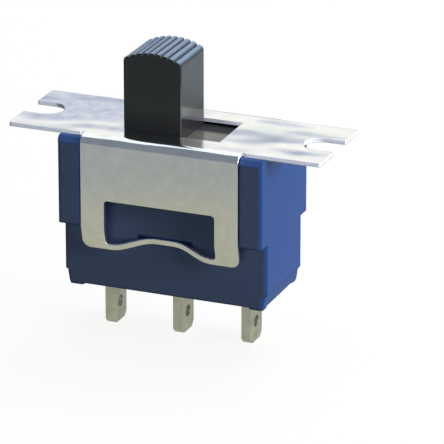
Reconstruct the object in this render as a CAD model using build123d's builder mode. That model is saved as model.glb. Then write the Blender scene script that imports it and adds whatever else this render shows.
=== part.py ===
from build123d import *
import os
from math import atan2, cos, radians, sin, sqrt, tan

os.makedirs("parts", exist_ok=True)

# A panel slide switch with one pole and two positions. Millimetres.
# The origin is the centre of the mounting plate's top face. X runs along the
# switch, Y across it and Z up through the knob. The knob rests at its left end.

# Folded steel frame
sheet = 0.4
flange_length = 32.2
flange_width = 10.4
slot_pitch = 28.5
slot_width = 3.4
opening_length = 10.1
opening_width = 6.1
bend_radius = 0.95
skirt_length = 16.3
skirt_drop = 11.55
skirt_corner = 0.85
crease_drop = 9.35
crease_radius = 0.7
lean = 0.5
window_length = 11.5
window_drop = 6.4
window_corner = 0.4
strip_height = 0.55
relief_length = 0.3
relief_depth = 0.2
ear_corner = 0.25

# Staked strip under each window
stake_x = 0.0
stake_inset = 0.95
stake_rise = 0.85
stake_foot = 9.0
stake_crown = 3.2
stake_radius = 4.0

# Moulded case
case_length = 21.15
case_width = 9.3
case_drop = 15.85
end_wall = 1.1
side_wall = 1.05
seat_drop = 5.9
skirt_fit = 0.04
pad_drop = 9.25
pad_gap = 0.1
pad_chamfer = 0.55
case_corner = 0.3
foot_height = 0.2
foot_length = 1.5
foot_width = 1.3
foot_inset = 0.05
toe_step = 0.2
toe_taper = 0.2
toe_height = 1.3
floor_drop = 13.0
well_end_clearance = 0.8
well_width = 4.2
stake_clearance = 0.07
pocket_margin = 0.2

# One-piece knob and carrier
knob_length = 6.0
knob_side_clearance = 0.1
knob_end_clearance = 0.1
knob_side_height = 7.2
knob_crown_height = 8.0
knob_corner = 0.15
ridge_count = 9
ridge_depth = 0.25
groove_width = 0.3
carrier_top_clearance = 0.2
carrier_height = 5.6
carrier_side_clearance = 0.1
carrier_ledge_clearance = 0.2
carrier_corner = 0.6
carrier_roof = 1.2
core_wall = 0.9
boss_wall = 0.4
boss_drop = 8.4
bore_ceiling_drop = 2.2

# Plunger and spring
plunger_radius = 1.35
plunger_fit = 0.05
plunger_length = 6.2
plunger_wall = 0.4
plunger_nose_wall = 1.3
plunger_gap = 0.05
spring_fit = 0.07
spring_wire = 0.26
spring_turns = 5
wire_sides = 6

# Rocker and contacts
rocker_sheet = 0.5
rocker_overhang = 0.8
rocker_dish = radians(3.0)
rocker_tilt = radians(6.0)
trunnion_radius = 0.25
trunnion_clearance = 0.03
contact_radius = 0.95
contact_height = 0.45
contact_gap = 0.03

# Terminals
terminal_pitch = 7.2
lug_thickness = 1.0
lug_width = 2.9
lug_hole_radius = 0.6
lug_hole_drop = 19.1
lug_tip_drop = 21.1
lug_chamfer = 0.5
terminal_fit = 0.05
head_length = 2.4
head_width = 3.8
head_thickness = 0.7
fork_clearance = 0.1
fork_lip = 0.3
fork_slot_drop = 0.55

# Sizes that follow from the ones above
skirt_y = flange_width / 2 + bend_radius
lean_angle = atan2(lean, skirt_drop - crease_drop)
stake_reach = sqrt(stake_inset ** 2 + stake_rise ** 2)
pad_inner = skirt_length / 2 + pad_gap
pad_length = case_length / 2 - pad_inner
seat_y = skirt_y - sheet - skirt_fit
cavity_length = case_length - 2 * end_wall
cavity_width = case_width - 2 * side_wall
carrier_top = -sheet - carrier_top_clearance
carrier_bottom = carrier_top - carrier_height
ledge_z = carrier_bottom - carrier_ledge_clearance
knob_width = opening_width - 2 * knob_side_clearance
travel = opening_length - knob_length - 2 * knob_end_clearance
slide_x = -travel / 2
carrier_length = cavity_length - travel - 2 * knob_end_clearance
carrier_width = cavity_width - 2 * carrier_side_clearance
rocker_length = 2 * (terminal_pitch + rocker_overhang)
well_length = rocker_length + 2 * well_end_clearance
floor_z = -floor_drop
fork_z = floor_z + head_thickness
rocker_width = lug_width
rise = terminal_pitch * tan(rocker_dish)
contact_arm = contact_height + rocker_sheet / 2 - rise
pivot_z = (
    fork_z + contact_height + contact_gap
    + terminal_pitch * sin(rocker_tilt) + contact_arm * cos(rocker_tilt)
)
tip_z = pivot_z + rocker_sheet / 2 + plunger_gap
bore_radius = plunger_radius + plunger_fit
boss_radius = bore_radius + boss_wall
bore_ceiling = -bore_ceiling_drop
cup_radius = plunger_radius - plunger_wall
cup_floor = tip_z + plunger_nose_wall
coil_radius = cup_radius - spring_fit - spring_wire / 2

# The frame is one sheet folded into a channel: plate, two bends, two skirts.
# Each skirt leans inward below a crease, and its window leaves a thin strip
# along the bottom that is staked inward under the case.
with BuildPart() as frame:
    with BuildSketch(Plane.YZ):
        with BuildLine():
            FilletPolyline(
                (-skirt_y + lean, -skirt_drop),
                (-skirt_y, -crease_drop),
                (-skirt_y, 0),
                (skirt_y, 0),
                (skirt_y, -crease_drop),
                (skirt_y - lean, -skirt_drop),
                radius=(crease_radius, bend_radius, bend_radius, crease_radius),
            )
            offset(amount=sheet, side=Side.RIGHT)
        make_face()
    extrude(amount=skirt_length / 2, both=True)

    # Between its rounded lower corners the window is cut on through the bottom
    # edge; the strip closes it again.
    window_foot = strip_height * cos(lean_angle) - skirt_drop
    with BuildSketch(Plane.XZ):
        with Locations((0, (window_foot - window_drop) / 2)):
            RectangleRounded(window_length, -window_drop - window_foot, window_corner)
        with Locations((0, -skirt_drop)):
            Rectangle(window_length - 2 * window_corner, 2 * (window_foot + skirt_drop))
    extrude(amount=skirt_y + sheet, both=True, mode=Mode.SUBTRACT)

    with BuildSketch(Plane.XY):
        RectangleRounded(flange_length, flange_width, ear_corner)
        with Locations((slot_pitch / 2, 0), (-slot_pitch / 2, 0)):
            Circle(slot_width / 2, mode=Mode.SUBTRACT)
        for side in (-1, 1):
            mouth = (flange_length - slot_pitch) / 2
            with Locations((side * (slot_pitch + mouth) / 2, 0)):
                Rectangle(mouth, slot_width, mode=Mode.SUBTRACT)
    extrude(amount=-sheet)

    with BuildSketch(Plane.XY):
        Rectangle(opening_length, opening_width)
        for side_x in (-1, 1):
            for side_y in (-1, 1):
                with Locations((
                    side_x * (skirt_length + relief_length) / 2,
                    side_y * (flange_width - relief_depth) / 2,
                )):
                    Rectangle(relief_length, relief_depth)
    extrude(amount=-sheet, mode=Mode.SUBTRACT)

    # Each strip follows a line that is pushed inward and up, and keeps its lean.
    strip_end = window_length / 2
    for side in (-1, 1):
        path_plane = Plane(
            origin=(0, side * (skirt_y - lean), -skirt_drop),
            x_dir=(1, 0, 0),
            z_dir=(0, -stake_rise, -side * stake_inset),
        )
        with BuildLine(path_plane) as strip_path:
            FilletPolyline(
                (-strip_end, 0),
                (stake_x - stake_foot / 2, 0),
                (stake_x - stake_crown / 2, stake_reach),
                (stake_x + stake_crown / 2, stake_reach),
                (stake_x + stake_foot / 2, 0),
                (strip_end, 0),
                radius=stake_radius,
            )
        section_plane = Plane(
            origin=strip_path.wires()[0] @ 0,
            x_dir=(0, -side * cos(lean_angle), sin(lean_angle)),
            z_dir=(-side, 0, 0),
        )
        with BuildSketch(section_plane):
            Rectangle(sheet, strip_height, align=(Align.MIN, Align.MIN))
        sweep(path=strip_path.wires()[0])
    leg_corners = frame.edges().filter_by(
        lambda edge: abs(abs(edge.center().X) - skirt_length / 2) < 0.01
        and edge.center().Z < 0.01 + sheet * sin(lean_angle) - skirt_drop
    )
    fillet(leg_corners, radius=skirt_corner)
frame.part.label = "frame"
export_step(frame.part, "parts/frame.step")

# The case is one deep moulding, open at the top and closed by the plate.
with BuildPart() as case:
    with BuildSketch(Plane.XY.offset(-sheet)):
        Rectangle(case_length, case_width)
    extrude(amount=-(case_drop - toe_height - sheet))
    with BuildSketch(Plane.XY.offset(-sheet)):
        Rectangle(2 * pad_inner, 2 * seat_y)
    extrude(amount=-(seat_drop - sheet))
    bend_side = case.edges().filter_by(Axis.X).group_by(Axis.Z)[-1]
    bend_edges = bend_side.filter_by(lambda edge: abs(abs(edge.center().Y) - seat_y) < 0.01)
    fillet(bend_edges, radius=bend_radius - sheet + skirt_fit)

    # Four corner pads stand out beside the skirts.
    with BuildSketch(Plane.XY.offset(-sheet)):
        for side in (-1, 1):
            with Locations((side * (pad_inner + pad_length / 2), 0)):
                Rectangle(pad_length, 2 * skirt_y)
    extrude(amount=-(pad_drop - sheet))
    top_edges = case.edges().filter_by(Axis.X).group_by(Axis.Z)[-1]
    pad_edges = top_edges.filter_by(lambda edge: abs(abs(edge.center().Y) - skirt_y) < 0.01)
    chamfer(pad_edges, length=pad_chamfer)
    ends = case.edges().filter_by(Axis.Z)
    corners = ends.filter_by(lambda edge: abs(abs(edge.center().X) - case_length / 2) < 0.01)
    fillet(corners, radius=case_corner)

    # Below a small step the ends draw in towards the bottom.
    toe_top = case_length / 2 - toe_step
    with BuildSketch(Plane.XY.offset(toe_height - case_drop)):
        RectangleRounded(2 * toe_top, case_width, case_corner)
    with BuildSketch(Plane.XY.offset(-case_drop)):
        RectangleRounded(2 * (toe_top - toe_taper), case_width, case_corner)
    loft()

    # Four small feet stand in the corners of the underside.
    foot_x = toe_top - toe_taper - foot_inset - foot_length / 2
    foot_y = case_width / 2 - foot_inset - foot_width / 2
    with BuildSketch(Plane.XY.offset(-case_drop)):
        with GridLocations(2 * foot_x, 2 * foot_y, 2, 2):
            RectangleRounded(foot_length, foot_width, case_corner)
    extrude(amount=-foot_height)

    # The slider runs in the wide upper room, the rocker in the well below it.
    with BuildSketch(Plane.XY.offset(-sheet)):
        RectangleRounded(cavity_length, cavity_width, carrier_corner)
    extrude(amount=ledge_z + sheet, mode=Mode.SUBTRACT)
    with BuildSketch(Plane.XY.offset(ledge_z)):
        RectangleRounded(well_length, well_width, carrier_corner)
    extrude(amount=floor_z - ledge_z, mode=Mode.SUBTRACT)
    with BuildSketch(Plane.XY.offset(floor_z)):
        with GridLocations(terminal_pitch, 1, 3, 1):
            Rectangle(lug_thickness + 2 * terminal_fit, lug_width + 2 * terminal_fit)
    extrude(amount=-case_drop - floor_z, mode=Mode.SUBTRACT)

    # A pocket in each long side takes the staked strip; its floor rises in the
    # middle to lie close under the strip's crown.
    strip_inside = skirt_y - lean - sheet * cos(lean_angle)
    pocket_depth = case_width / 2 - strip_inside + stake_inset + stake_clearance
    entry = (strip_inside - case_width / 2) / stake_inset
    crown_top = sheet * sin(lean_angle) + strip_height * cos(lean_angle)
    pocket_top = stake_rise + crown_top + stake_clearance - skirt_drop
    pocket_land = stake_rise - stake_clearance - skirt_drop
    pocket_floor = entry * stake_rise - stake_clearance - skirt_drop
    land_half = stake_crown / 2 - 2 * stake_clearance
    entry_half = stake_foot / 2 - entry * (stake_foot - stake_crown) / 2
    pocket_half = entry_half + pocket_margin
    for side in (-1, 1):
        with BuildSketch(Plane.XZ.offset(-side * case_width / 2)):
            Polygon(
                (stake_x - pocket_half, pocket_top),
                (stake_x - pocket_half, pocket_floor),
                (stake_x - entry_half, pocket_floor),
                (stake_x - land_half, pocket_land),
                (stake_x + land_half, pocket_land),
                (stake_x + entry_half, pocket_floor),
                (stake_x + pocket_half, pocket_floor),
                (stake_x + pocket_half, pocket_top),
                align=None,
            )
        extrude(amount=side * pocket_depth, mode=Mode.SUBTRACT)
case.part.label = "case"
export_step(case.part, "parts/case.step")

# Knob, carrier and plunger guide are one moulding, ribbed over the crown.
with BuildPart() as slider:
    with BuildSketch(Plane.XY.offset(carrier_top)):
        with Locations((slide_x, 0)):
            RectangleRounded(knob_length, knob_width, knob_corner)
    extrude(amount=knob_crown_height - carrier_top)
    half = knob_length / 2
    crown = knob_crown_height - knob_side_height
    arch_radius = (half ** 2 + crown ** 2) / (2 * crown)
    arch_z = knob_crown_height - arch_radius
    pitch = knob_length / ridge_count
    outline = [(slide_x - half, carrier_top)]
    for ridge in range(ridge_count + 1):
        groove_x = -half + ridge * pitch
        for step, sink in ((-groove_width / 2, 0), (0, ridge_depth), (groove_width / 2, 0)):
            if abs(groove_x + step) <= half + 0.001:
                arch = arch_z + sqrt(arch_radius ** 2 - (groove_x + step) ** 2)
                outline.append((slide_x + groove_x + step, arch - sink))
    outline.append((slide_x + half, carrier_top))
    with BuildSketch(Plane.XZ):
        with BuildLine():
            Polyline(*outline, close=True)
        make_face()
    extrude(amount=knob_width, both=True, mode=Mode.INTERSECT)

    with BuildSketch(Plane.XY.offset(carrier_top)):
        with Locations((slide_x, 0)):
            RectangleRounded(carrier_length, carrier_width, carrier_corner)
    extrude(amount=-carrier_height)
    with BuildSketch(Plane.XY.offset(carrier_bottom)):
        with Locations((slide_x, 0)):
            Circle(boss_radius)
    extrude(amount=-(boss_drop + carrier_bottom))
    with BuildSketch(Plane.XY.offset(-boss_drop)):
        with Locations((slide_x, 0)):
            Circle(bore_radius)
    extrude(amount=boss_drop - bore_ceiling_drop, mode=Mode.SUBTRACT)

    # Two pockets core out the carrier from below.
    core_inner = boss_radius + core_wall
    core_outer = carrier_length / 2 - core_wall
    core_width = carrier_width - 2 * core_wall
    with BuildSketch(Plane.XY.offset(carrier_bottom)):
        for side in (-1, 1):
            with Locations((slide_x + side * (core_inner + core_outer) / 2, 0)):
                Rectangle(core_outer - core_inner, core_width)
    extrude(amount=carrier_height - carrier_roof, mode=Mode.SUBTRACT)
slider.part.label = "slider"
export_step(slider.part, "parts/slider.step")

# The plunger is a cup with a round nose; its spring sits inside.
with BuildPart() as plunger:
    with BuildSketch(Plane(origin=(slide_x, 0, 0), x_dir=(1, 0, 0), z_dir=(0, -1, 0))):
        with BuildLine():
            nose = CenterArc((0, tip_z + plunger_radius), plunger_radius, -90, 90)
            Polyline(
                nose @ 1,
                (plunger_radius, tip_z + plunger_length),
                (cup_radius, tip_z + plunger_length),
                (cup_radius, cup_floor),
                (0, cup_floor),
                nose @ 0,
            )
        make_face()
    revolve(axis=Axis((slide_x, 0, 0), (0, 0, 1)))
plunger.part.label = "plunger"
export_step(plunger.part, "parts/plunger.step")

# The coil spring stands in the plunger's cup; its wire is drawn six-sided.
with BuildPart() as plunger_spring:
    spring_height = bore_ceiling - cup_floor - spring_wire
    with BuildLine():
        coil = Helix(
            pitch=spring_height / spring_turns,
            height=spring_height,
            radius=coil_radius,
            center=(slide_x, 0, cup_floor + spring_wire / 2),
        )
    with BuildSketch(Plane(origin=coil @ 0, z_dir=coil % 0)):
        RegularPolygon(spring_wire / 2, wire_sides)
    sweep(path=coil, is_frenet=True)
plunger_spring.part.label = "plunger_spring"
export_step(plunger_spring.part, "parts/plunger_spring.step")

# The rocker is drawn in its own tilted plane, through the pivot axis.
rocker_plane = Plane(
    origin=(0, 0, pivot_z),
    x_dir=(cos(rocker_tilt), 0, sin(rocker_tilt)),
    z_dir=(0, -1, 0),
)
with BuildPart() as rocker:
    arm = rocker_length / 2
    arm_rise = arm * tan(rocker_dish)
    with BuildSketch(rocker_plane):
        with BuildLine():
            Polyline(
                (-arm, arm_rise + rocker_sheet / 2),
                (0, rocker_sheet / 2),
                (arm, arm_rise + rocker_sheet / 2),
                (arm, arm_rise - rocker_sheet / 2),
                (0, -rocker_sheet / 2),
                (-arm, arm_rise - rocker_sheet / 2),
                close=True,
            )
        make_face()
    extrude(amount=rocker_width / 2, both=True)
    fillet(rocker.edges().filter_by(Axis.Y).group_by(Axis.X)[0], radius=rocker_sheet / 4)
    with BuildSketch(rocker_plane):
        Circle(trunnion_radius)
    extrude(amount=head_width / 2, both=True)
rocker.part.label = "rocker"
export_step(rocker.part, "parts/rocker.step")

# Contact buttons are shallow domes, two under the rocker and two facing them.
dome_radius = (contact_radius ** 2 + contact_height ** 2) / (2 * contact_height)
for side, name in ((-1, "left"), (1, "right")):
    slope = rocker_tilt + side * rocker_dish
    seat = rocker_plane.from_local_coords((side * terminal_pitch, rise - rocker_sheet / 2, 0))
    dome_plane = Plane(origin=seat, x_dir=(cos(slope), 0, sin(slope)), z_dir=(0, -1, 0))
    with BuildPart() as rocker_contact:
        with BuildSketch(dome_plane):
            with BuildLine():
                ThreePointArc(
                    (0, -contact_height),
                    (dome_radius * sin(0.3), dome_radius * (1 - cos(0.3)) - contact_height),
                    (contact_radius, 0),
                )
                Polyline((contact_radius, 0), (0, 0), (0, -contact_height))
            make_face()
        revolve(axis=Axis(seat, dome_plane.y_dir))
    rocker_contact.part.label = "rocker_contact_" + name
    export_step(rocker_contact.part, "parts/rocker_contact_" + name + ".step")

    with BuildPart() as fixed_contact:
        with BuildSketch(Plane(
            origin=(side * terminal_pitch, 0, fork_z), x_dir=(1, 0, 0), z_dir=(0, -1, 0)
        )):
            with BuildLine():
                ThreePointArc(
                    (0, contact_height),
                    (dome_radius * sin(0.3), contact_height - dome_radius * (1 - cos(0.3))),
                    (contact_radius, 0),
                )
                Polyline((contact_radius, 0), (0, 0), (0, contact_height))
            make_face()
        revolve(axis=Axis((side * terminal_pitch, 0, 0), (0, 0, 1)))
    fixed_contact.part.label = "fixed_contact_" + name
    export_step(fixed_contact.part, "parts/fixed_contact_" + name + ".step")

    # An end terminal is a drilled blade with a broad head on the well's floor.
    with BuildPart() as terminal:
        with BuildSketch(Plane.XY.offset(floor_z)):
            with Locations((side * terminal_pitch, 0)):
                Rectangle(head_length, head_width)
        extrude(amount=head_thickness)
        with BuildSketch(Plane.XY.offset(floor_z)):
            with Locations((side * terminal_pitch, 0)):
                Rectangle(lug_thickness, lug_width)
        extrude(amount=-(lug_tip_drop + floor_z))
        chamfer(terminal.edges().filter_by(Axis.X).group_by(Axis.Z)[0], length=lug_chamfer)
        with BuildSketch(Plane.YZ.offset(side * terminal_pitch)):
            with Locations((0, -lug_hole_drop)):
                Circle(lug_hole_radius)
        extrude(amount=lug_thickness, both=True, mode=Mode.SUBTRACT)
    terminal.part.label = "terminal_" + name
    export_step(terminal.part, "parts/terminal_" + name + ".step")

# The common terminal ends in a fork whose two lips cradle the rocker's trunnions.
with BuildPart() as terminal_common:
    with BuildSketch(Plane.XY.offset(floor_z)):
        Rectangle(lug_thickness, lug_width)
    extrude(amount=-(lug_tip_drop + floor_z))
    chamfer(terminal_common.edges().filter_by(Axis.X).group_by(Axis.Z)[0], length=lug_chamfer)
    fork_top = pivot_z + fork_lip
    with BuildSketch(Plane.YZ):
        with Locations((0, (floor_z + fork_top) / 2)):
            Rectangle(head_width, fork_top - floor_z)
        slot_bottom = pivot_z - fork_slot_drop
        with Locations((0, (slot_bottom + fork_top) / 2)):
            Rectangle(
                rocker_width + 2 * fork_clearance, fork_top - slot_bottom,
                mode=Mode.SUBTRACT,
            )
    extrude(amount=lug_thickness / 2, both=True)
    notch_radius = trunnion_radius + trunnion_clearance
    with BuildSketch(Plane.XZ):
        with Locations((0, pivot_z)):
            Circle(notch_radius)
        with Locations((0, pivot_z + fork_lip / 2)):
            Rectangle(2 * notch_radius, fork_lip)
    extrude(amount=head_width, both=True, mode=Mode.SUBTRACT)
    with BuildSketch(Plane.YZ):
        with Locations((0, -lug_hole_drop)):
            Circle(lug_hole_radius)
    extrude(amount=lug_thickness, both=True, mode=Mode.SUBTRACT)
terminal_common.part.label = "terminal_common"
export_step(terminal_common.part, "parts/terminal_common.step")
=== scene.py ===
from math import cos, radians, sin

import bpy
import numpy as np
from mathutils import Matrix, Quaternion, Vector

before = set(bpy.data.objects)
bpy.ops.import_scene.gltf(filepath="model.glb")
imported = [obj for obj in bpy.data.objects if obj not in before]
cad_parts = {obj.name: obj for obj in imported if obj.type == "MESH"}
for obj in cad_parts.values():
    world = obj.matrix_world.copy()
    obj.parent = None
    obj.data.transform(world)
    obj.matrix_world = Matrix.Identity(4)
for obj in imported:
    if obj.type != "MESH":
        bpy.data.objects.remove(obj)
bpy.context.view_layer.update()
mm = 0.001  # lengths are in metres
print("frame loaded,", len(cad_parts), "nodes")


def outward(azimuth, elevation):
    # unit vector from the switch: azimuth in degrees from -Y towards +X, elevation upwards
    az, el = radians(azimuth), radians(elevation)
    return Vector((sin(az) * cos(el), -cos(az) * cos(el), sin(el)))


# The camera stands off from one point on the plate's top, along azimuth and elevation, and
# is rolled a little about its line of sight. The lens shift puts that point on its pixel.
view = {
    "azimuth": 22.80,
    "elevation": 19.41,
    "roll": -0.30,
    "standOff": 0.375,
    "aim": (0.0, -5 * mm, 0.0),
    "aimPixel": (162.76, 141.9),
    "focalPixels": 3928.5,
    "pixels": 444,
    "sensor": 36.0,
    "clip": (0.01, 20.0),
}


def addCamera(v):
    forward = -outward(v["azimuth"], v["elevation"])
    data = bpy.data.cameras.new("photoCamera")
    data.sensor_width = v["sensor"]
    data.lens = v["focalPixels"] / v["pixels"] * v["sensor"]
    data.shift_x = (v["pixels"] / 2 - v["aimPixel"][0]) / v["pixels"]
    data.shift_y = (v["aimPixel"][1] - v["pixels"] / 2) / v["pixels"]
    data.clip_start, data.clip_end = v["clip"]
    obj = bpy.data.objects.new("photoCamera", data)
    obj.location = Vector(v["aim"]) - forward * v["standOff"]
    turned = forward.to_track_quat("-Z", "Y") @ Quaternion((0, 0, 1), radians(v["roll"]))
    obj.rotation_euler = turned.to_euler()
    bpy.context.scene.collection.objects.link(obj)
    bpy.context.scene.camera = obj


addCamera(view)
bpy.context.scene.view_settings.view_transform = "Standard"
print("camera placed")

# Lamps are soft squares. Each stands at a distance along azimuth and elevation from
# the switch and faces it.
lamps = {
    "key": {"azimuth": 82, "elevation": 15, "distance": 0.45, "side": 0.20, "watts": 1.35,
            "colour": (1.0, 0.97, 0.98)},
    "rear": {"azimuth": 168, "elevation": 50, "distance": 0.50, "side": 0.30, "watts": 1.0,
             "colour": (0.95, 0.97, 1.0)},
    "ceiling": {"azimuth": 172, "elevation": 76, "distance": 0.70, "side": 0.80, "watts": 2.2,
                "colour": (0.80, 0.90, 1.0)},
}


def addLamp(name, v):
    away = outward(v["azimuth"], v["elevation"])
    data = bpy.data.lights.new(name + "Lamp", "AREA")
    data.shape = "SQUARE"
    data.size = v["side"]
    data.energy = v["watts"]
    data.color = v["colour"]
    obj = bpy.data.objects.new(name + "Lamp", data)
    obj.location = away * v["distance"]
    obj.rotation_euler = (-away).to_track_quat("-Z", "Y").to_euler()
    bpy.context.scene.collection.objects.link(obj)


for lampName, lampValues in lamps.items():
    addLamp(lampName, lampValues)

# A Mix node keeps its first input, second input and result in these slots.
mixSlots = {"RGBA": (6, 7, 2), "VECTOR": (4, 5, 1)}


def feed(tree, value, socket):
    # links another node's output to the socket, or sets a plain value or colour on it
    if isinstance(value, bpy.types.NodeSocket):
        tree.links.new(value, socket)
    elif socket.type == "RGBA":
        socket.default_value = (*value, 1)
    else:
        socket.default_value = value


def mathNode(tree, operation, a, b, clamp=False):
    node = tree.nodes.new("ShaderNodeMath")
    node.operation = operation
    node.use_clamp = clamp
    feed(tree, a, node.inputs[0])
    feed(tree, b, node.inputs[1])
    return node.outputs[0]


def vectorNode(tree, operation, *values):
    node = tree.nodes.new("ShaderNodeVectorMath")
    node.operation = operation
    for slot, value in enumerate(values):
        feed(tree, value, node.inputs[slot])
    return node


def mixNode(tree, kind, mask, low, high):
    # low where the mask is 0, high where it is 1
    node = tree.nodes.new("ShaderNodeMix")
    node.data_type = kind
    first, second, result = mixSlots[kind]
    feed(tree, mask, node.inputs["Factor"])
    feed(tree, low, node.inputs[first])
    feed(tree, high, node.inputs[second])
    return node.outputs[result]


def mapRange(tree, value, fromRange=(0.0, 1.0), toRange=(0.0, 1.0)):
    # carries the first range onto the second along a straight line, level outside it
    node = tree.nodes.new("ShaderNodeMapRange")
    ends = (*fromRange, *toRange)
    for label, end in zip(("From Min", "From Max", "To Min", "To Max"), ends):
        node.inputs[label].default_value = end
    tree.links.new(value, node.inputs["Value"])
    return node.outputs[0]


def noiseNode(tree, vector, scale, detail, roughness=0.5):
    node = tree.nodes.new("ShaderNodeTexNoise")
    tree.links.new(vector, node.inputs["Vector"])
    feed(tree, scale, node.inputs["Scale"])
    node.inputs["Detail"].default_value = detail
    node.inputs["Roughness"].default_value = roughness
    return node.outputs[0]


def bumpNode(tree, height, normal, depth, strength=1.0):
    # leans the normal by the slope of the height, which the depth turns into metres
    node = tree.nodes.new("ShaderNodeBump")
    node.inputs["Strength"].default_value = strength
    node.inputs["Distance"].default_value = depth
    tree.links.new(height, node.inputs["Height"])
    tree.links.new(normal, node.inputs["Normal"])
    return node.outputs[0]


def ownPlace(tree):
    return tree.nodes.new("ShaderNodeTexCoord").outputs["Object"]


def ownAxis(tree, axis):
    parts = tree.nodes.new("ShaderNodeSeparateXYZ")
    tree.links.new(ownPlace(tree), parts.inputs[0])
    return parts.outputs[axis]


def rayMask(tree, *kinds):
    # one where the ray is of any of these kinds, through a chain of maximums
    path = tree.nodes.new("ShaderNodeLightPath")
    mask = path.outputs[kinds[0]]
    for kind in kinds[1:]:
        mask = mathNode(tree, "MAXIMUM", mask, path.outputs[kind])
    return mask


def putOut(tree, output, mask, low, high):
    # the tree's result is the low shader where the mask is 0, the high one where it is 1
    mix = tree.nodes.new("ShaderNodeMixShader")
    out = tree.nodes.new(output)
    tree.links.new(mask, mix.inputs[0])
    tree.links.new(low.outputs[0], mix.inputs[1])
    tree.links.new(high.outputs[0], mix.inputs[2])
    tree.links.new(mix.outputs[0], out.inputs[0])


# Past the sweep the camera sees the background. Shiny parts mirror a dim room on the left
# and a bright one on the right, which meet where the direction's part along X runs over the
# edge, and all other rays find the ambient grey.
surround = {
    "background": (1, 1, 1),
    "ambient": (0.05, 0.05, 0.05),
    "roomLeft": (0.20, 0.23, 0.28),
    "roomRight": (0.78, 0.82, 0.88),
    "roomEdge": (0.02, 0.22),
}


def setWorld(v):
    world = bpy.data.worlds.new("studio")
    bpy.context.scene.world = world
    world.use_nodes = True
    tree = world.node_tree
    tree.nodes.clear()
    right = mapRange(tree, ownAxis(tree, "X"), v["roomEdge"])
    mirrored = mixNode(tree, "RGBA", right, v["roomLeft"], v["roomRight"])
    tint = mixNode(tree, "RGBA", rayMask(tree, "Is Glossy Ray"), v["ambient"], mirrored)
    room = tree.nodes.new("ShaderNodeBackground")
    feed(tree, tint, room.inputs["Color"])
    background = tree.nodes.new("ShaderNodeBackground")
    feed(tree, v["background"], background.inputs["Color"])
    camera = rayMask(tree, "Is Camera Ray")
    putOut(tree, "ShaderNodeOutputWorld", camera, room, background)


# The sweep is floor and backdrop in one: along its profile the floor runs level, turns
# up through a quarter circle and climbs straight; across, it is the same everywhere. Its
# faces are backdrop from a small rise above the floor.
sweep = {"front": -0.9, "back": 0.55, "turn": 0.35, "height": 1.2, "halfWidth": 1.4,
         "floorZ": -21.12 * mm, "turnSteps": 24, "columns": 9, "rise": 0.01}


def faceValues(mesh, what):
    # one row of three for each face: its centre or its normal
    values = np.zeros(len(mesh.polygons) * 3)
    mesh.polygons.foreach_get(what, values)
    return values.reshape(-1, 3)


def gridObject(name, points, shape):
    # quads of an open grid of rows by columns, numbered row by row
    number = np.arange(shape[0] * shape[1]).reshape(shape)
    corners = (number[:-1, :-1], number[1:, :-1], number[1:, 1:], number[:-1, 1:])
    mesh = bpy.data.meshes.new(name)
    mesh.from_pydata(points.tolist(), [], np.stack(corners, -1).reshape(-1, 4).tolist())
    mesh.shade_smooth()
    obj = bpy.data.objects.new(name, mesh)
    bpy.context.scene.collection.objects.link(obj)
    return obj


def addSweep(v):
    t = np.linspace(0, 1, v["turnSteps"]) * np.pi / 2
    along = np.concatenate(([v["front"], 0.0], v["back"] + v["turn"] * np.sin(t),
                            [v["back"] + v["turn"]]))
    up = np.concatenate(([0.0, 0.0], v["turn"] * (1 - np.cos(t)), [v["height"]]))
    across = np.linspace(-v["halfWidth"], v["halfWidth"], v["columns"])
    y, x = np.meshgrid(along, across, indexing="ij")
    z = np.repeat(up[:, None], across.size, axis=1) + v["floorZ"]
    return gridObject("studioSweep", np.stack([x, y, z], -1).reshape(-1, 3), x.shape)


# Paper is lit, and mixed with plain light for the rays that show it as a background. To
# the lamps' bounced light it is dark, so that the switch's shaded side stays shaded. What
# shiny parts mirror runs from the near colour to the far one: along the floor by distance
# from the switch, up the backdrop by height. Past the switch the floor turns to a third.
papers = {
    "floor": {"bounce": (0.12, 0.12, 0.12), "paper": (0.90, 0.90, 0.90), "share": 0.84,
              "seen": (1.07, 1.065, 1.06), "measure": "distance", "spread": (0.051, 0.057),
              "near": (0.490, 0.503, 0.405), "far": (0.40, 0.43, 0.43),
              "behind": (0.62, 0.71, 0.77), "turn": (0.062, 0.071)},
    "backdrop": {"bounce": (0.12, 0.12, 0.12), "paper": (0.90, 0.90, 0.90), "share": 0.92,
                 "seen": (1.05, 1.045, 1.04), "measure": "height", "spread": (0.20, 0.33),
                 "near": (0.46, 0.52, 0.68), "far": (1.08, 1.08, 1.06)},
}


def paperMaterial(name, v):
    mat = bpy.data.materials.new(name)
    mat.use_nodes = True
    tree = mat.node_tree
    tree.nodes.clear()
    if v["measure"] == "distance":
        away = vectorNode(tree, "LENGTH", ownPlace(tree)).outputs["Value"]
    else:
        away = ownAxis(tree, "Z")
    mirrored = mixNode(tree, "RGBA", mapRange(tree, away, v["spread"]), v["near"], v["far"])
    if "behind" in v:
        past = mapRange(tree, ownAxis(tree, "Y"), v["turn"])
        mirrored = mixNode(tree, "RGBA", past, mirrored, v["behind"])
    camera = rayMask(tree, "Is Camera Ray")
    lit = tree.nodes.new("ShaderNodeBsdfDiffuse")
    feed(tree, mixNode(tree, "RGBA", camera, v["bounce"], v["paper"]), lit.inputs["Color"])
    plain = tree.nodes.new("ShaderNodeEmission")
    feed(tree, mixNode(tree, "RGBA", camera, mirrored, v["seen"]), plain.inputs["Color"])
    shown = rayMask(tree, "Is Camera Ray", "Is Glossy Ray", "Is Transmission Ray")
    share = mathNode(tree, "MULTIPLY", shown, v["share"])
    putOut(tree, "ShaderNodeOutputMaterial", share, lit, plain)
    return mat


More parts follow.
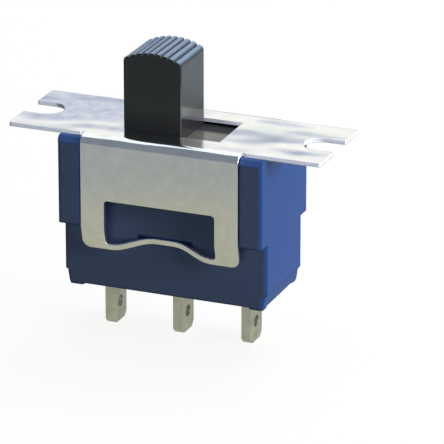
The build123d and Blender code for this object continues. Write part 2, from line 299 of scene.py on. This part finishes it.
setWorld(surround)
studioSweep = addSweep(sweep)
for paperName, paperValues in papers.items():
    studioSweep.data.materials.append(paperMaterial(paperName + "Paper", paperValues))
faceHeight = faceValues(studioSweep.data, "center")[:, 2]
rising = (faceHeight > sweep["floorZ"] + sweep["rise"]).astype(np.int32)
studioSweep.data.polygons.foreach_set("material_index", rising)
print("studio lit")

# Node groups shared by several finishes. The edge mask's gain makes a slight lean a full
# mask, and the even share is what is left of it where the noise is in its middle.
edgeValues = {"samples": 6, "patchScale": 1400.0, "patchDetail": 3.0, "gain": 6.0,
              "evenShare": 0.75}
grainValues = {"fineDetail": 2.0, "broadDetail": 4.0, "broadRoughness": 0.6}
noiseMiddle = 0.5


def newGroup(name, inputs, outputs):
    group = bpy.data.node_groups.new(name, "ShaderNodeTree")
    for label, kind, value in inputs:
        socket = group.interface.new_socket(label, in_out="INPUT", socket_type=kind)
        socket.default_value = value
    for label, kind in outputs:
        group.interface.new_socket(label, in_out="OUTPUT", socket_type=kind)
    return group, group.nodes.new("NodeGroupInput"), group.nodes.new("NodeGroupOutput")


def softStep(tree, value, level, softness):
    # 0 below the level, one half at it and 1 above it, straight over the soft band;
    # a negative softness turns the step round
    past = mathNode(tree, "SUBTRACT", value, level)
    past = mathNode(tree, "DIVIDE", past, softness)
    return mathNode(tree, "ADD", past, 0.5, clamp=True)


def makeEdgeGroup(v):
    # Edge mask for the painted edge highlight: how far the rounded normal leans from the flat
    # one, made uneven by noise.
    group, start, end = newGroup(
        "edgeHighlight",
        [("Radius", "NodeSocketFloat", 0.1 * mm), ("Unevenness", "NodeSocketFloat", 0.5)],
        [("Mask", "NodeSocketFloat"), ("Normal", "NodeSocketVector")],
    )
    bevel = group.nodes.new("ShaderNodeBevel")
    bevel.samples = v["samples"]
    group.links.new(start.outputs["Radius"], bevel.inputs["Radius"])
    flat = group.nodes.new("ShaderNodeNewGeometry")
    lean = vectorNode(group, "DOT_PRODUCT", bevel.outputs[0], flat.outputs["Normal"])
    turned = mathNode(group, "SUBTRACT", 1.0, lean.outputs["Value"])
    turned = mathNode(group, "MULTIPLY", turned, v["gain"], clamp=True)
    noise = noiseNode(group, ownPlace(group), v["patchScale"], v["patchDetail"])
    patchy = mathNode(group, "SUBTRACT", noise, noiseMiddle)
    patchy = mathNode(group, "MULTIPLY", patchy, start.outputs["Unevenness"])
    patchy = mathNode(group, "ADD", patchy, v["evenShare"])
    mask = mathNode(group, "MULTIPLY", turned, patchy, clamp=True)
    group.links.new(mask, end.inputs["Mask"])
    group.links.new(bevel.outputs[0], end.inputs["Normal"])
    return group


def makeGrainGroup(v):
    # Moulded or plated skin: fine noise for the bump, which may be stretched, and broad
    # noise for the tone.
    group, start, end = newGroup(
        "skinGrain",
        [("Fine Scale", "NodeSocketFloat", 4000.0), ("Broad Scale", "NodeSocketFloat", 250.0),
         ("Stretch", "NodeSocketVector", (1.0, 1.0, 1.0))],
        [("Height", "NodeSocketFloat"), ("Tone", "NodeSocketFloat")],
    )
    place = ownPlace(group)
    drawn = vectorNode(group, "MULTIPLY", place, start.outputs["Stretch"]).outputs[0]
    fine = noiseNode(group, drawn, start.outputs["Fine Scale"], v["fineDetail"])
    broad = noiseNode(group, place, start.outputs["Broad Scale"], v["broadDetail"],
                      v["broadRoughness"])
    group.links.new(fine, end.inputs["Height"])
    group.links.new(broad, end.inputs["Tone"])
    return group


def makeZoneGroup():
    # Zone mask: a soft step along a direction. It measures the position, or the flat
    # normal where asked, or a rounded normal where that is asked too.
    group, start, end = newGroup(
        "zoneMask",
        [("Direction", "NodeSocketVector", (0.0, 0.0, 1.0)), ("Level", "NodeSocketFloat", 0.0),
         ("Softness", "NodeSocketFloat", 0.2 * mm), ("Of Normal", "NodeSocketFloat", 0.0),
         ("Lean", "NodeSocketFloat", 0.0), ("Rounded", "NodeSocketVector", (0.0, 0.0, 1.0))],
        [("Mask", "NodeSocketFloat")],
    )
    flat = group.nodes.new("ShaderNodeNewGeometry").outputs["True Normal"]
    facing = mixNode(group, "VECTOR", start.outputs["Lean"], flat, start.outputs["Rounded"])
    measured = mixNode(group, "VECTOR", start.outputs["Of Normal"], ownPlace(group), facing)
    along = vectorNode(group, "DOT_PRODUCT", measured, start.outputs["Direction"])
    mask = softStep(group, along.outputs["Value"], start.outputs["Level"],
                    start.outputs["Softness"])
    group.links.new(mask, end.inputs["Mask"])
    return group


def makeReachGroup():
    # Reach mask: a soft step of the distance from a centre, with each axis weighted.
    group, start, end = newGroup(
        "reachMask",
        [("Centre", "NodeSocketVector", (0.0, 0.0, 0.0)),
         ("Weights", "NodeSocketVector", (1.0, 1.0, 1.0)),
         ("Level", "NodeSocketFloat", 1.0 * mm), ("Softness", "NodeSocketFloat", 0.2 * mm)],
        [("Mask", "NodeSocketFloat")],
    )
    away = vectorNode(group, "SUBTRACT", ownPlace(group), start.outputs["Centre"])
    weighted = vectorNode(group, "MULTIPLY", away.outputs[0], start.outputs["Weights"])
    reach = vectorNode(group, "LENGTH", weighted.outputs[0])
    mask = softStep(group, reach.outputs["Value"], start.outputs["Level"],
                    start.outputs["Softness"])
    group.links.new(mask, end.inputs["Mask"])
    return group


edgeHighlight = makeEdgeGroup(edgeValues)
skinGrain = makeGrainGroup(grainValues)
zoneMask = makeZoneGroup()
reachMask = makeReachGroup()


def placeGroup(tree, group, **values):
    node = tree.nodes.new("ShaderNodeGroup")
    node.node_tree = group
    for label, value in values.items():
        node.inputs[label.replace("_", " ")].default_value = value
    return node


# Tests for where a zone lies. A place test steps along a direction and a reach test out
# from a centre, both in metres. A normal test steps with the cosine between a direction
# and the flat normal, and a lean test with that of the rounded normal.
def placeTest(direction, level, softness):
    return {"kind": "place", "direction": direction, "level": level, "softness": softness}


def normalTest(direction, level, softness):
    return {"kind": "normal", "direction": direction, "level": level, "softness": softness}


def leanTest(direction, level, softness):
    return {"kind": "lean", "direction": direction, "level": level, "softness": softness}


def reachTest(centre, weights, level, softness):
    return {"kind": "reach", "centre": centre, "weights": weights, "level": level,
            "softness": softness}


def testMask(tree, test, rounded):
    if test["kind"] == "reach":
        zone = placeGroup(tree, reachMask, Centre=test["centre"], Weights=test["weights"],
                          Level=test["level"], Softness=test["softness"])
        return zone.outputs["Mask"]
    zone = placeGroup(tree, zoneMask, Direction=test["direction"], Level=test["level"],
                      Softness=test["softness"])
    if test["kind"] != "place":
        zone.inputs["Of Normal"].default_value = 1.0
    if test["kind"] == "lean":
        zone.inputs["Lean"].default_value = 1.0
        tree.links.new(rounded, zone.inputs["Rounded"])
    return zone.outputs["Mask"]


def zoneShare(tree, tests, rounded):
    # the product of the masks of every test
    share = testMask(tree, tests[0], rounded)
    for test in tests[1:]:
        share = mathNode(tree, "MULTIPLY", share, testMask(tree, test, rounded))
    return share


# One finish: tone noise, its contrast raised by the gain, moves between two colours and two
# roughnesses, and the edges go to a third colour, a painted edge highlight. Zones bring in a
# colour of their own, painted reflection, sheen, light or shade where the lists above say so,
# which their mottle thins out where the tone is low, and may dull the coat or roughen the
# skin. The normal is rounded at the edges, then tilted by a broad wave and rolled over at a
# sheared rim where a finish has them, and last comes the fine grain.
def makeFinish(name, v):
    mat = bpy.data.materials.new(name)
    mat.use_nodes = True
    tree = mat.node_tree
    skin = tree.nodes["Principled BSDF"]
    edge = placeGroup(tree, edgeHighlight, Radius=v["edgeRadius"], Unevenness=v["edgeUneven"])
    highlitEdges, rounded = edge.outputs["Mask"], edge.outputs["Normal"]
    grain = placeGroup(tree, skinGrain, Fine_Scale=v["fine"], Broad_Scale=v["broad"],
                       Stretch=v["stretch"])
    tone = mathNode(tree, "SUBTRACT", grain.outputs["Tone"], noiseMiddle)
    tone = mathNode(tree, "MULTIPLY", tone, v["toneGain"])
    tone = mathNode(tree, "ADD", tone, noiseMiddle, clamp=True)
    colour = mixNode(tree, "RGBA", tone, v["colour"], v["colourTwo"])
    rough = mapRange(tree, tone, toRange=v["roughness"])
    if "coat" in v:
        coat = mapRange(tree, highlitEdges, toRange=v["coat"])
    for zone in v.get("zones", []):
        share = zoneShare(tree, zone["tests"], rounded)
        toned = mathNode(tree, "MULTIPLY", share, zone["strength"])
        if "mottle" in zone:
            thinned = mapRange(tree, tone, toRange=(zone["mottle"], 1.0))
            toned = mathNode(tree, "MULTIPLY", toned, thinned)
        colour = mixNode(tree, "RGBA", toned, colour, zone["colour"])
        if "coatShare" in zone:
            kept = mapRange(tree, share, toRange=(1.0, zone["coatShare"]))
            coat = mathNode(tree, "MULTIPLY", coat, kept)
        if "rough" in zone:
            rougher = mathNode(tree, "MULTIPLY", share, zone["rough"])
            rough = mathNode(tree, "MAXIMUM", rough, rougher)
    # painted edge highlight: the edges take the edge colour
    colour = mixNode(tree, "RGBA", highlitEdges, colour, v["edgeColour"])
    normal = rounded
    if "wave" in v:
        wave = placeGroup(tree, skinGrain, Fine_Scale=v["wave"]["scale"],
                          Stretch=v["wave"]["stretch"])
        where = zoneShare(tree, v["wave"]["tests"], rounded)
        swell = mathNode(tree, "SUBTRACT", wave.outputs["Height"], noiseMiddle)
        swell = mathNode(tree, "MULTIPLY", swell, where)
        normal = bumpNode(tree, swell, normal, v["wave"]["depth"])
    if "roll" in v:
        where = zoneShare(tree, v["roll"]["tests"], rounded)
        normal = bumpNode(tree, where, normal, v["roll"]["depth"])
    normal = bumpNode(tree, grain.outputs["Height"], normal, v["bumpDepth"], v["bump"])
    tree.links.new(colour, skin.inputs["Base Color"])
    tree.links.new(rough, skin.inputs["Roughness"])
    tree.links.new(normal, skin.inputs["Normal"])
    if "coat" in v:
        tree.links.new(coat, skin.inputs["Coat Weight"])
        skin.inputs["Coat Roughness"].default_value = v["coatRoughness"]
    skin.inputs["Metallic"].default_value = v["metallic"]
    skin.inputs["Specular IOR Level"].default_value = v["specular"]
    return mat


# Painted reflections lie on top of the plate: bluish and grey patches that stand in for the
# sky and room that the polished plate mirrors. Each lies inside a stretched circle, whose
# radius along an axis is its reach over the weight. The first one also stays behind a slanting
# line.
plateTop = placeTest((0, 0, 1), -0.10 * mm, 0.05 * mm)
paintedReflections = [
    {"tests": [plateTop, placeTest((-0.358, 0.934, 0), 1.37 * mm, 1.0 * mm),
               reachTest((-10.0 * mm, 1.0 * mm, 0), (0.36, 0.50, 0), 2.9 * mm, -0.9 * mm)],
     "colour": (0.42, 0.48, 0.66), "strength": 1.0, "mottle": 0.45},
    {"tests": [plateTop,
               reachTest((9.0 * mm, 4.1 * mm, 0), (0.40, 1.6, 0), 0.9 * mm, -0.9 * mm)],
     "colour": (0.52, 0.56, 0.72), "strength": 0.9, "mottle": 0.5},
    {"tests": [plateTop,
               reachTest((12.4 * mm, -2.9 * mm, 0), (0.40, 1.5, 0), 0.75 * mm, -0.8 * mm)],
     "colour": (0.50, 0.54, 0.74), "strength": 0.9, "mottle": 0.5},
    {"tests": [plateTop,
               reachTest((7.9 * mm, 0.4 * mm, 0), (0.6, 0.5, 0), 1.3 * mm, -1.2 * mm)],
     "colour": (0.70, 0.78, 0.76), "strength": 0.8, "mottle": 0.5},
]

# The case's front and back are painted a paler, greyer blue, a painted sheen that stands in
# for the neutral reflection on those shaded faces, and its four upright corners are painted a
# deeper, dull blue without coat, a painted band where the rounded corners turn from the shaded
# faces to the lit ends.
blueZones = [
    # painted sheen on the faces that look along Y
    *[{"tests": [normalTest((0, facing, 0), 0.8, 0.3)],
       "colour": (0.150, 0.225, 0.420), "strength": 0.9}
      for facing in (-1, 1)],
    # painted band on the upright corners
    *[{"tests": [leanTest((0.71 * end, 0.71 * facing, 0), 0.90, 0.14)],
       "colour": (0.006, 0.115, 0.43), "strength": 0.9, "coatShare": 0.0}
      for end in (-1, 1) for facing in (-1, 1)],
]

# The knob's crown gets a painted reflection, the blue-grey of the sky mirrored on its ridges,
# outside a cylinder along Y, and its lowest band is painted shade, a plain dark colour with
# the coat mostly taken off. On the carrier, in the opening, the top is painted shade, dark and
# rough, at the back under the plate, and painted light, pale, at the front where light falls
# in.
carrierTop = [placeTest((0, 0, -1), 0.3 * mm, 0.1 * mm), normalTest((0, 0, 1), 0.8, 0.2)]
blackZones = [
    # painted reflection on the crown
    {"tests": [placeTest((0, 0, 1), 6.9 * mm, 0.3 * mm), normalTest((0, 0, 1), 0.45, 0.3),
               reachTest((-1.95 * mm, 0, 1.975 * mm), (1, 0, 1), 5.93 * mm, 0.06 * mm)],
     "colour": (0.135, 0.255, 0.41), "strength": 0.97},
    # painted shade on the knob's lowest band
    {"tests": [placeTest((0, 0, -1), -1.8 * mm, 1.2 * mm)],
     "colour": (0.034, 0.035, 0.037), "strength": 0.8, "coatShare": 0.10},
    # painted shade at the back of the carrier top
    {"tests": [*carrierTop, placeTest((0, 1, 0), 0.9 * mm, 0.5 * mm)],
     "colour": (0.020, 0.021, 0.024), "strength": 1.0, "coatShare": 0.0, "rough": 0.75},
    # painted light at the front of the carrier top
    {"tests": [*carrierTop, placeTest((0, -1, 0), -0.8 * mm, 0.9 * mm)],
     "colour": (0.20, 0.195, 0.16), "strength": 0.9},
]

# Noise scales are per metre. Roughness runs over the tone, and coat from the open faces to the
# edges. Each edge colour is a painted edge highlight.
finishes = {
    "platedSheet": {
        "colour": (0.86, 0.87, 0.83), "colourTwo": (1.0, 0.99, 0.98),
        "edgeColour": (0.98, 0.98, 0.98), "roughness": (0.10, 0.20), "metallic": 1.0,
        "edgeRadius": 0.12 * mm, "edgeUneven": 0.5, "fine": 420.0, "broad": 800.0,
        "stretch": (0.6, 1.0, 1.4), "toneGain": 2.2, "bump": 0.5, "bumpDepth": 0.02 * mm,
        # the plate's zones are its painted reflections
        "specular": 0.5, "zones": paintedReflections,
        "wave": {"scale": 85.0, "stretch": (0.8, 1.3, 1.0), "depth": 0.75 * mm,
                 "tests": [placeTest((0, 0, 1), -0.35 * mm, 0.5 * mm)]},
    },
    "shearedEdge": {
        "colour": (0.95, 0.92, 0.97), "colourTwo": (1.0, 0.97, 1.0),
        "edgeColour": (0.98, 0.97, 1.0), "roughness": (0.22, 0.38), "metallic": 1.0,
        "edgeRadius": 0.26 * mm, "edgeUneven": 0.3, "fine": 2600.0, "broad": 1500.0,
        "stretch": (1.0, 1.0, 0.3), "toneGain": 1.2, "bump": 0.1, "bumpDepth": 0.01 * mm,
        "specular": 0.5,
        "roll": {"depth": 0.70 * mm, "tests": [placeTest((0, 0, -1), 0.17 * mm, 0.36 * mm)]},
    },
    "blueMoulding": {
        "colour": (0.012, 0.090, 0.38), "colourTwo": (0.040, 0.122, 0.46),
        "edgeColour": (0.006, 0.115, 0.43), "roughness": (0.40, 0.52), "metallic": 0.0,
        "edgeRadius": 0.34 * mm, "edgeUneven": 0.3, "fine": 5200.0, "broad": 1100.0,
        "stretch": (1.0, 1.0, 1.0), "toneGain": 1.4, "bump": 0.25, "bumpDepth": 0.01 * mm,
        "specular": 0.25, "coat": (0.45, 0.0), "coatRoughness": 0.45, "zones": blueZones,
    },
    "blackMoulding": {
        "colour": (0.027, 0.033, 0.036), "colourTwo": (0.034, 0.040, 0.045),
        "edgeColour": (0.05, 0.056, 0.066), "roughness": (0.12, 0.22), "metallic": 0.0,
        "edgeRadius": 0.08 * mm, "edgeUneven": 0.5, "fine": 2200.0, "broad": 300.0,
        "stretch": (3.0, 1.0, 0.2), "toneGain": 1.5, "bump": 0.12, "bumpDepth": 0.008 * mm,
        "specular": 0.28, "coat": (0.6, 0.5), "coatRoughness": 0.08, "zones": blackZones,
    },
    "tinnedBrass": {
        "colour": (0.60, 0.585, 0.52), "colourTwo": (0.86, 0.845, 0.77),
        "edgeColour": (0.74, 0.74, 0.70), "roughness": (0.30, 0.48), "metallic": 1.0,
        "edgeRadius": 0.12 * mm, "edgeUneven": 0.6, "fine": 1500.0, "broad": 700.0,
        "stretch": (1.0, 1.0, 0.5), "toneGain": 2.2, "bump": 0.3, "bumpDepth": 0.02 * mm,
        "specular": 0.5,
    },
    "naturalNylon": {
        "colour": (0.78, 0.76, 0.68), "colourTwo": (0.84, 0.82, 0.75),
        "edgeColour": (0.86, 0.85, 0.80), "roughness": (0.40, 0.50), "metallic": 0.0,
        "edgeRadius": 0.08 * mm, "edgeUneven": 0.4, "fine": 4000.0, "broad": 500.0,
        "stretch": (1.0, 1.0, 1.0), "toneGain": 1.2, "bump": 0.15, "bumpDepth": 0.01 * mm,
        "specular": 0.5,
    },
    "springWire": {
        "colour": (0.58, 0.58, 0.60), "colourTwo": (0.66, 0.66, 0.68),
        "edgeColour": (0.70, 0.70, 0.72), "roughness": (0.22, 0.34), "metallic": 1.0,
        "edgeRadius": 0.06 * mm, "edgeUneven": 0.3, "fine": 5000.0, "broad": 900.0,
        "stretch": (1.0, 1.0, 0.2), "toneGain": 1.5, "bump": 0.15, "bumpDepth": 0.01 * mm,
        "specular": 0.5,
    },
    "copperSheet": {
        "colour": (0.70, 0.40, 0.24), "colourTwo": (0.78, 0.50, 0.32),
        "edgeColour": (0.84, 0.58, 0.42), "roughness": (0.26, 0.42), "metallic": 1.0,
        "edgeRadius": 0.08 * mm, "edgeUneven": 0.5, "fine": 1800.0, "broad": 500.0,
        "stretch": (0.3, 1.0, 1.0), "toneGain": 2.0, "bump": 0.2, "bumpDepth": 0.01 * mm,
        "specular": 0.5,
    },
    "silverButton": {
        "colour": (0.80, 0.80, 0.78), "colourTwo": (0.88, 0.88, 0.87),
        "edgeColour": (0.92, 0.92, 0.92), "roughness": (0.18, 0.32), "metallic": 1.0,
        "edgeRadius": 0.05 * mm, "edgeUneven": 0.4, "fine": 3000.0, "broad": 900.0,
        "stretch": (1.0, 1.0, 1.0), "toneGain": 1.8, "bump": 0.15, "bumpDepth": 0.01 * mm,
        "specular": 0.5,
    },
}
made = {name: makeFinish(name, values) for name, values in finishes.items()}
print("finishes made:", ", ".join(made))

wear = {
    "platedSheet": ["frame"],
    "blueMoulding": ["case"],
    "blackMoulding": ["slider"],
    "tinnedBrass": ["terminal_left", "terminal_common", "terminal_right"],
    "naturalNylon": ["plunger"],
    "springWire": ["plunger_spring"],
    "copperSheet": ["rocker"],
    "silverButton": ["rocker_contact_left", "rocker_contact_right",
                     "fixed_contact_left", "fixed_contact_right"],
}
for finishName, nodeNames in wear.items():
    for nodeName in nodeNames:
        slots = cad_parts[nodeName].data.materials
        slots.clear()
        slots.append(made[finishName])

# The sheet's cut faces get their own finish. Below the bend they are the faces that look
# along the skirt's plane, anywhere under the plate's top those that look along X, and in
# the plate those that look sideways and lie off the bend.
cutFaces = {"belowBend": -1.1 * mm, "plateUnder": -0.41 * mm, "wingSide": 5.21 * mm,
            "edgeOn": 0.35, "alongX": 0.9}


def dressCutFaces(obj, v):
    mesh = obj.data
    centre, normal = faceValues(mesh, "center"), faceValues(mesh, "normal")
    skirt = (centre[:, 2] < v["belowBend"]) & (abs(normal[:, 1]) < v["edgeOn"])
    bendEnd = (centre[:, 2] < 0) & (abs(normal[:, 0]) > v["alongX"])
    inPlate = (centre[:, 2] > v["plateUnder"]) & (abs(centre[:, 1]) < v["wingSide"])
    plate = inPlate & (abs(normal[:, 2]) < v["edgeOn"])
    mesh.materials.append(made["shearedEdge"])
    mesh.polygons.foreach_set("material_index", (skirt | bendEnd | plate).astype(np.int32))


dressCutFaces(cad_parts["frame"], cutFaces)
print("nodes dressed")
